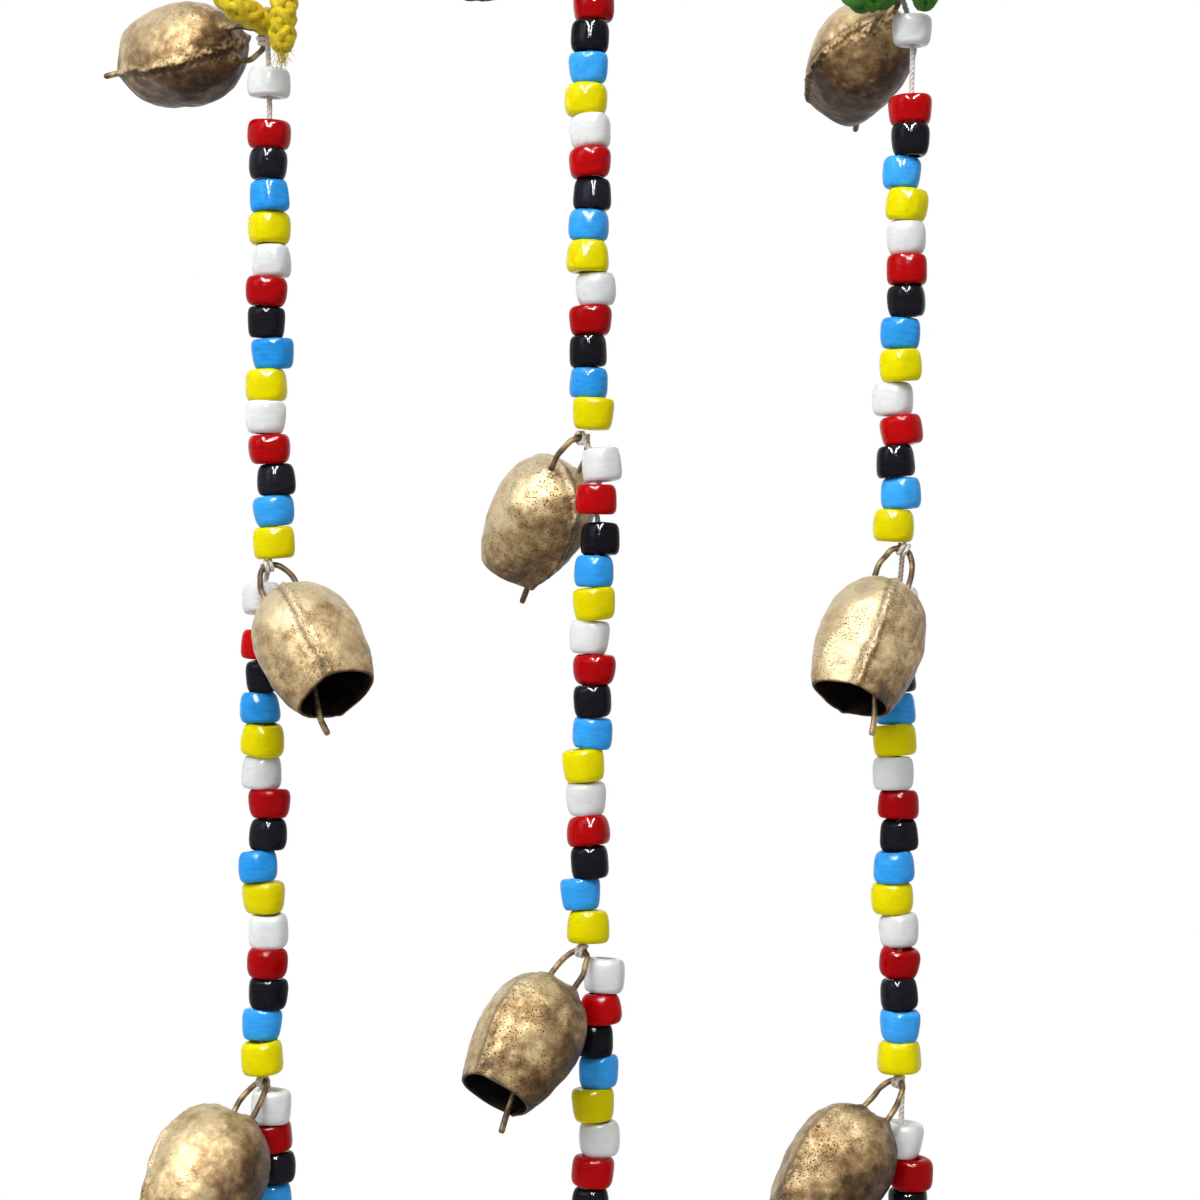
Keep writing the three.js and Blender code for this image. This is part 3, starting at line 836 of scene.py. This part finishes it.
def rope_route(start, lobe_drop, tail_drop, tail_in, forward, reach=0, dip=0):
    """A rope's way from its knot at the top tie round the hook to its tail, as seen from the tie"""
    over = ROPE_OVER_TIE / MM
    lobe = (-5.8 - reach, -0.4 - forward, over + 1 - lobe_drop)
    sag = ((start[0] + lobe[0]) / 2, (start[1] + lobe[1] - dip) / 2, (start[2] + lobe[2]) / 2 - dip)
    route = [
        start,
        sag,
        lobe,
        (-8 - reach, -0.4 - forward, over + 3.6 - lobe_drop),
        (-7.8 - reach * 0.8, -forward * 0.5, over + 8.2 - lobe_drop),
        (-7.4, 0, over + 13.5),
        (-7.2, 0, over + 19),
        (-5.2, 0, over + 24.4),
        (0, 0, ROPE_CREST / MM),
        (5.2, 0, over + 24.4),
        (7.2, 0, over + 19),
        (7.2, 0, over + 13.5),
        (6.6 - tail_in * 0.5, -0.5 - forward * 0.5, over + 7),
        (6.4 - tail_in, -0.8 - forward, over + 2),
        (5 - tail_in * 0.4, -1 - forward, over - tail_drop),
    ]
    return [Vector(point) * MM for point in route]


def scattered(draw, *limits):
    """A vector of three random draws"""
    return Vector([draw(*limits) for _ in range(3)])


def add_tuft(shape, end, direction, rng):
    """The frayed fibres of a cut rope end"""
    for _ in range(TUFT_FIBRES):
        way = (direction + scattered(rng.gauss, 0, 1) * TUFT_LEAN).normalized()
        root = end + scattered(rng.uniform, -1, 1) * TUFT_ROOT * MM
        length = rng.uniform(*TUFT_LENGTHS) * MM
        curl = scattered(rng.gauss, 0, 1) * length * TUFT_CURL
        middle = root + way * length * 0.5 + curl * 0.5
        path = smooth_route([root, middle, root + way * length], length / TUFT_STEPS)
        radius = np.linspace(*TUFT_RADII, len(path)) * MM
        lay = np.broadcast_to(path[:, None], (len(path), TUFT_SIDES, 3))
        shape.add_grid(tube(path, radius, TUFT_SIDES), ends_close=True, lay=lay)


def add_rope_loop(string, material, thread_material):
    """A string's braided rope, with a frayed end on the left one and a tied thread on the centre one"""
    look = dict(ROPES[string])
    length = look.pop("length")
    tie = string_point(f"{string}_top")
    path = smooth_route([tie + p for p in rope_route(**look)], CORD_STEP)
    shape = Shape()
    for way in (1, -1):
        add_laid_cord(shape, path, ROPE_STRANDS, ROPE_STRAND_RADIUS, ROPE_DIAMETER / 2 - ROPE_STRAND_RADIUS,
                      ROPE_LAY, ROPE_SIDES, way, way * ROPE_WEAVE)
    if string == "left":
        direction = Vector(path[-1] - path[-4]).normalized()
        add_tuft(shape, Vector(path[-1]), direction, random.Random(f"{string} rope"))
    rope = shape.make(f"{string}_rope", [material])
    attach(rope, "rope_loops")
    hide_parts(f"{string}_rope_loop")
    if string == "centre":
        add_hitch(string, path, thread_material)


# Beads and thread

def bead_places(run):
    """Each bead's colour, middle and length, from the top of its run down"""
    count = RUNS[run]["beads"]
    sway = np.interp(np.arange(count), (0, (count - 1) / 2, count - 1), RUNS[run]["sway"]) * MM
    string = string_point(run)
    rng = random.Random(f"{run} places")
    loose = f"{run}_loose_bead" in frame["nodes"]
    columns = [f"{run}_loose_bead", f"{run}_beads"] if loose else [f"{run}_beads"]
    places = []
    for column in columns:
        low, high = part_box(column)
        is_loose = column.endswith("loose_bead")
        first = len(places)
        colours = [COLOURS[i % len(COLOURS)] for i in range(first, 1 if is_loose else count)]
        bare = [BEAD_GAPS.get((run, index), 0) for index in range(first, first + len(colours))]
        unit = (high.z - low.z - sum(bare)) / sum(BEAD_LENGTHS[colour] for colour in colours)
        top = high.z
        for index, colour in enumerate(colours, first):
            top -= bare[index - first]
            length = BEAD_LENGTHS[colour] * unit
            # The bead under a loose one stands in line with it
            if not (loose and index == 1):
                stray = Vector((rng.gauss(0, BEAD_STRAY), rng.gauss(0, BEAD_STRAY), 0))
            middle = string + stray + Vector((sway[index], 0, top - length / 2 - string.z))
            middle.y += pushed_back(run, middle.z - string.z)
            if is_loose:
                middle.z += LOOSE_CUT / 2
                length -= LOOSE_CUT
            places.append((colour, middle, length))
            top -= length
    return places


def add_bead(shape, rng, colour, middle, length):
    """A ring of glass with rounded shoulders, a little oval, tapered and askew"""
    section = full_turn(BEAD_ROWS)[:, None]
    around = full_turn(BEAD_COLUMNS)[None, :]
    power = 2 / rng.uniform(*BEAD_SQUARENESS)
    bore = BEAD_BORE / 2
    wall = (BEAD_RADII[colour] * rng.uniform(*BEAD_SIZES) - bore) / 2
    out = bore + wall * (1 + signed_power(np.cos(section), power)) + 0 * around
    height = (length - BEAD_CLEARANCE) / 2 * signed_power(np.sin(section), power) + 0 * around
    waves = [(rng.uniform(0, BEAD_WAVE_DEPTH), n, rng.uniform(0, TURN)) for n in BEAD_WAVES]
    out = out * (1 + sum(size * np.cos(n * around + start) for size, n, start in waves))
    out = out * (1 + rng.uniform(-BEAD_TAPER, BEAD_TAPER) * height / length)
    height = height + out * rng.uniform(0, BEAD_SLANT) * np.cos(around + rng.uniform(0, TURN))
    grid = np.stack([out * np.cos(around), out * np.sin(around), height], axis=-1)
    tilts = [Matrix.Rotation(rng.gauss(0, tilt), 3, axis) for tilt, axis in zip(BEAD_TILT, "XY")]
    askew = tilts[0] @ tilts[1]
    grid = grid @ np.array(askew.transposed()) + np.array(middle)
    shape.add_grid(grid, rows_close=True, tone=np.full(grid.shape[:2], rng.uniform(*BEAD_TONES)))


def add_beads(run, glasses, shiny_beads):
    """A run's beads, those of each colour as one piece, with a loose bead on its own"""
    rng = random.Random(f"{run} beads")
    loose = f"{run}_loose_bead" in frame["nodes"]
    shapes = {}
    for index, (colour, middle, length) in enumerate(bead_places(run)):
        key = "loose" if loose and index == 0 else colour
        add_bead(shapes.setdefault(key, Shape()), rng, colour, middle, length)
    for key, shape in shapes.items():
        colour = COLOURS[0] if key == "loose" else key
        node = f"{run}_loose_bead" if key == "loose" else f"{run}_beads"
        piece = shape.make(f"{node}_{colour}", [glasses[colour]])
        shiny_beads.objects.link(piece)
        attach(piece, f"{run}_loose_bead" if key == "loose" else f"{run}_strand")
        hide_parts(node)


def add_end_knot(run, material, middle):
    """A thread tied in an overhand knot under the last bead"""
    turn = full_turn(KNOT_POINTS)
    loop = np.stack([np.sin(turn) + 2 * np.sin(2 * turn), np.cos(turn) - 2 * np.cos(2 * turn),
                     -KNOT_DEPTH * np.sin(3 * turn)], axis=-1)
    path = np.array(middle) + loop * KNOT_SIZE
    along = np.arange(KNOT_POINTS)[:, None] * KNOT_LAY
    lay = np.stack(np.broadcast_arrays(along, *(np.zeros((1, THREAD_SIDES)),) * 2), -1)
    shape = Shape()
    shape.add_grid(tube(path, KNOT_THICKNESS, THREAD_SIDES, closed=True), rows_close=True, lay=lay)
    knot = shape.make(f"{run}_end_knot", [material])
    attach(knot, f"{run}_strand")
    return knot


def add_thread(run, material):
    """The thread from a bell's tie down through its beads, and the turns that tie the wire"""
    tie = string_point(run)
    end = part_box(f"{run}_thread")[0].z
    places = bead_places(run)
    last = places[-1][1]
    points = [tie + Vector((0, 0, THREAD_EYE)), tie - Vector((0, 0, THREAD_EYE))]
    points += [middle for _, middle, _ in places]
    points.append(Vector((last.x, last.y, end)))
    path = smooth_route(points, CORD_STEP)
    shape = Shape()
    add_laid_cord(shape, path, PLIES, PLY_RADIUS, THREAD_DIAMETER / 2 - PLY_RADIUS, PLY_LAY, THREAD_SIDES)
    thread = shape.make(f"{run}_cotton_thread", [material])
    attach(thread, f"{run}_strand")
    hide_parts(f"{run}_thread")
    is_last = run.endswith("low")
    knots = [add_end_knot(run, material, Vector((last.x, last.y, end + KNOT_TAIL)))] if is_last else []
    place = bell_place(run) @ Matrix.Translation((0, 0, ARCH_LIFT))
    add_wraps(f"{run}_tie", TIE_RADIUS, TIE_STEPS, place, material, f"{run}_bell")


def add_wraps(name, radius, steps, place, material, body):
    """Turns of thread round a wire or a rope that lies along X"""
    turn = np.linspace(0, TURN * TIE_TURNS, steps * TIE_TURNS)
    along = (turn / TURN - TIE_TURNS / 2) * TIE_PITCH
    coil = np.stack([along, radius * np.sin(turn), radius * np.cos(turn)], -1)
    shape = Shape()
    add_laid_cord(shape, coil, PLIES, WRAP_PLY_RADIUS, WRAP_SPREAD, PLY_LAY, THREAD_SIDES)
    wraps = shape.make(name, [material], place)
    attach(wraps, body)


def add_hitch(string, path, material):
    """The turns that tie a string to its rope, near the rope's start"""
    at = int(np.searchsorted(distances(path), HITCH_ALONG))
    ahead = Vector(path[at + 1] - path[at - 1]).normalized()
    turned = Vector((1, 0, 0)).rotation_difference(ahead).to_matrix().to_4x4()
    place = Matrix.Translation(path[at]) @ turned
    add_wraps(f"{string}_hitch", HITCH_RADIUS, HITCH_STEPS, place, material, "rope_loops")


# Bells

def drawn_curve(count, *points):
    """Points of a curve from the first of four points to the last, drawn towards the two between"""
    t = np.linspace(0, 1, count)[:, None]
    start, near, far, end = np.array(points)
    return start * (1 - t) ** 3 + near * 3 * t * (1 - t) ** 2 + far * 3 * t * t * (1 - t) + end * t ** 3


def bell_outline(inset, skirt_rows, dome_rows):
    """Rows of (radius, height above the mouth) from the lip up to just under the crown"""
    waist, lip, crown = BELL_WIDTH / 2 - inset, MOUTH_WIDTH / 2 - inset, BELL_HEIGHT - inset
    rise = crown - WAIST_HEIGHT
    flare = (lip + (waist - lip) * SKIRT_FLARE, WAIST_HEIGHT * SKIRT_FLARE_HEIGHT)
    below, above = (waist, WAIST_HEIGHT * SKIRT_SHOULDER), (waist, WAIST_HEIGHT + rise * DOME_SHOULDER)
    flat = (waist * CROWN_FLATNESS, crown)
    skirt = drawn_curve(skirt_rows, (lip, 0), flare, below, (waist, WAIST_HEIGHT))
    dome = drawn_curve(dome_rows, (waist, WAIST_HEIGHT), above, flat, (0, crown))
    return np.concatenate([skirt, dome[1:-1]])


def seam_share(height):
    """How deep a shell is from seam to seam, as a share of its width, at a height above the mouth"""
    mouth, waist = MOUTH_DEPTH / MOUTH_WIDTH, BELL_DEPTH / BELL_WIDTH
    return mouth + (waist - mouth) * np.clip(height / WAIST_HEIGHT, 0, 1)


def outward_normals(grid, is_outer):
    """Unit vectors square to a wall that point out of the bell, on its inside too"""
    ahead = np.gradient(grid, axis=0)
    sideways = np.roll(grid, -1, 1) - np.roll(grid, 1, 1)
    normal = np.cross(sideways, -ahead)
    normal /= np.maximum(np.linalg.norm(normal, axis=-1, keepdims=True), SMALLEST_AREA)
    return normal * np.where(is_outer > 0, 1, -1)[..., None]


def hammer_marks(grid, outward, outer_rows, look, rng):
    """How far dents and flat hammer marks move each point of a wall outwards"""
    move = sum(depth * noise_at(grid, size, look["seed"] + seed) for depth, size, seed in DENTS)
    for _ in range(look["facets"]):
        row, column = int(rng.uniform(*FACET_ROWS) * outer_rows), rng.randrange(BELL_COLUMNS)
        flat, centre = outward[row, column], grid[row, column]
        above = (grid + outward * move[..., None] - centre) @ flat + rng.uniform(*FACET_DEPTHS) * MM
        near = np.exp(-(np.linalg.norm(grid - centre, axis=-1) / FACET_RADIUS) ** 4)
        move = move - FACET_FLATNESS * np.maximum(above, 0) * near
    return move


def seam_bands(across, along, height, seed):
    """How much of each band lies at each point of a wall, from 0 to 1; the seams wander a little"""
    line = np.stack([0 * along, np.sign(along) * BELL_DEPTH / 2, height + 0 * along], axis=-1)
    off_line = across - SEAM_WANDER * noise_at(line, SEAM_WANDER_LENGTH, seed + SEAM_SEED)
    return {name: np.exp(-((off_line - offset) / width) ** 2) for name, (offset, width) in SEAM_BANDS.items()}


def brazing(grid, share, bands, look):
    """How far braze stands out of a wall along its seams and round the hanger's legs"""
    rough = noise_at(grid, ROUGH_SIZE, look["seed"] + ROUGH_SEED)
    swell = noise_at(grid, SWELL_SIZE, look["seed"] + SWELL_SEED)
    lumps = LUMP_HEIGHT * look["lumps"] * (LUMP_ROUGHNESS * rough + swell)
    even, by_rough, by_swell = RIDGE_SHARES
    skin = RIDGE_HEIGHT * bands["ridge"] * (even + by_rough * rough + by_swell * swell)
    skin = skin + lumps * bands["seam"] * np.sqrt(share)
    skin = skin - LAP_DEPTH * bands["lap"]
    for side in (-1, 1):
        leg = np.array((side * HANGER_WIDTH / 2, 0))
        gap = np.linalg.norm(grid[..., :2] - leg, axis=-1)
        mound = LEG_BRAZE_HEIGHT * np.exp(-(gap / LEG_BRAZE_RADIUS) ** 2)
        skin = skin + mound * (share > CROWN_SHARE) * (1 + LEG_BRAZE_ROUGHNESS * rough)
    return skin


def add_shell(run, brass, inside_material):
    """A bell's wall: two dished halves that meet at brazed seams, hammered, with a dark inside"""
    look = USUAL_LOOK | BELL_LOOKS[run]
    outer, inner = bell_outline(0, *OUTER_ROWS), bell_outline(SHEET, *INNER_ROWS)
    lip = np.array([(MOUTH_WIDTH / 2 - SHEET * share, -LIP_DROP) for share in LIP_SHARES])
    rows = np.concatenate([outer[::-1], lip, inner])
    is_outer = np.concatenate([np.ones(len(outer)), np.full(len(lip), 0.5), np.zeros(len(inner))])[:, None]
    radius, height = rows[:, :1], rows[:, 1:]
    around = full_turn(BELL_COLUMNS)[None, :]
    share = np.clip(height / BELL_HEIGHT, 0, 1)
    across = radius * signed_power(np.cos(around), 2 / (MOUTH_ROUNDNESS + CROWN_ROUNDING * share))
    along = radius * np.sin(around) * seam_share(height)
    c, s = math.cos(look["seam_turn"]), math.sin(look["seam_turn"])
    grid = np.stack([across * c - along * s, across * s + along * c, height + 0 * around], axis=-1)
    grid[..., 2] -= HANGER_RISE + BELL_HEIGHT

    outward = outward_normals(grid, is_outer)
    bands = seam_bands(across, along, height, look["seed"])
    move = hammer_marks(grid, outward, len(outer), look, random.Random(f"{run} shell"))
    move = move * (LIP_DENTS + (1 - LIP_DENTS) * np.clip(height / LIP_STIFFNESS, 0, 1))
    move = move + brazing(grid, share, bands, look) * is_outer
    grid = grid + outward * move[..., None]
    wave = LIP_WAVE * noise_at(grid, LIP_WAVE_SIZE, look["seed"] + LIP_SEED)
    grid[..., 2] += wave * np.exp(-height / LIP_WAVE_HEIGHT)

    shape = Shape()
    # The tone point value is partly patina and partly painted shade
    shape.add_grid(grid, ends_close=True, seam=bands["seam"] * is_outer, lap=bands["lap"] * is_outer,
                   lip=np.exp(-height / LIP_STAIN_HEIGHT) + 0 * around,
                   tone=np.full(grid.shape[:2], look["tone"]), pits=np.full(grid.shape[:2], look["pits"]))
    inside_row = len(outer) + len(lip) - 1
    quads = np.repeat(np.arange(len(rows) - 1), BELL_COLUMNS) >= inside_row
    fans = np.tile([False, True], BELL_COLUMNS)
    shell = shape.make(f"{run}_bell", [brass, inside_material], bell_place(run), np.concatenate([quads, fans]))
    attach(shell, f"{run}_bell")
    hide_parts(f"{run}_bell_shell")


def add_hanger(run, material):
    """A bent link of wire: an arch above the crown and an eye for the clapper below it"""
    rng = random.Random(f"{run} hanger")
    half = HANGER_WIDTH / MM / 2
    bottom = -HANGER_LENGTH / MM
    right = [(1.2, 0), (2.3, -1), (half - 0.8, -2.9), (half - 0.1, -5.4), (half, -8.4), (half, -10.6),
             (half - 0.2, bottom + 2.2), (half - 1.3, bottom + 0.5), (1.3, bottom)]
    outline = [(0, ARCH_LIFT / MM), *right, (0, bottom), *((-x, z) for x, z in reversed(right))]
    sideways, endways = HANGER_STRAY
    points = [Vector((x + rng.gauss(0, sideways), rng.gauss(0, endways), z)) * MM for x, z in outline]
    path = smooth_route(points, HANGER_STEP, closed=True)
    grid = tube(path, WIRE_RADIUS, HANGER_SIDES, closed=True)
    shape = Shape()
    shape.add_grid(uneven(grid, path, rng, *HANGER_UNEVEN), rows_close=True)
    hanger = shape.make(f"{run}_wire_hanger", [material], bell_place(run))
    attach(hanger, f"{run}_bell")
    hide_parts(f"{run}_bell_hanger")


def clapper_place(run):
    """Matrix of a clapper: its eye at the origin and its rod down, leaning close to the bell's wall"""
    askew = math.radians(CLAPPERS_ASKEW.get(run, 0))
    across = EYE_TO_MOUTH * math.sin(abs(askew)) / (MOUTH_WIDTH / 2)
    reach = MOUTH_DEPTH / 2 * math.sqrt(1 - across ** SEAM_POINT)
    wall = (SHEET + CLAPPER_RADIUS + CLAPPER_GAP) / (1 - across / 2)
    lean = math.atan2(reach - wall, EYE_TO_MOUTH)
    place = bell_place(run) @ Matrix.Translation((0, 0, -HANGER_LENGTH))
    return place @ Matrix.Rotation(-lean, 4, "X") @ Matrix.Rotation(askew, 4, "Y")


def add_clapper(run, material):
    """A rod, bent into an eye round the hanger at its top"""
    rng = random.Random(f"{run} clapper")
    eye = WIRE_RADIUS + RUNNING_GAP + CLAPPER_RADIUS
    turns = [math.radians(angle) for angle in CLAPPER_EYE]
    points = [Vector((0, eye * math.cos(turn), eye * math.sin(turn))) for turn in turns]
    tip = -EYE_TO_MOUTH - CLAPPER_REACH
    for share in CLAPPER_BENDS:
        sideways, endways = (rng.gauss(0, stray) * MM for stray in CLAPPER_STRAY)
        points.append(Vector((sideways, endways, -eye + (tip + eye) * share)))
    path = smooth_route(points, CLAPPER_STEP)
    radius = np.full(len(path), CLAPPER_RADIUS)
    radius[[0, -1]] *= CLAPPER_END
    grid = tube(path, radius, CLAPPER_SIDES)
    shape = Shape()
    shape.add_grid(uneven(grid, path, rng, *CLAPPER_UNEVEN), ends_close=True)
    clapper = shape.make(f"{run}_clapper_rod", [material], clapper_place(run))
    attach(clapper, f"{run}_clapper")
    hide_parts(f"{run}_bell_clapper")


add_camera()
cotton = fibre_material("cotton", *COTTON_COLOURS, **COTTON_FIBRE)
for string, colours in ROPE_COLOURS.items():
    add_rope_loop(string, fibre_material(f"rope_{string}", *colours, **ROPE_FIBRE), cotton)
for run in RUNS:
    add_thread(run, cotton)

add_world()
add_floor()
for name, lamp in LAMPS.items():
    add_lamp(name, *lamp)
shiny_beads = bpy.data.collections.new("shiny_beads")
for side in (-1, 1):
    add_glint(side, shiny_beads)

glasses = {colour: glass_material(colour, *tones) for colour, tones in GLASS_COLOURS.items()}
brass = brass_material()
inside_material = dark_inside_material()
wire = wire_material()
for run in RUNS:
    add_beads(run, glasses, shiny_beads)
    add_shell(run, brass, inside_material)
    add_hanger(run, wire)
    add_clapper(run, wire)

bpy.context.scene.view_settings.view_transform = "Standard"
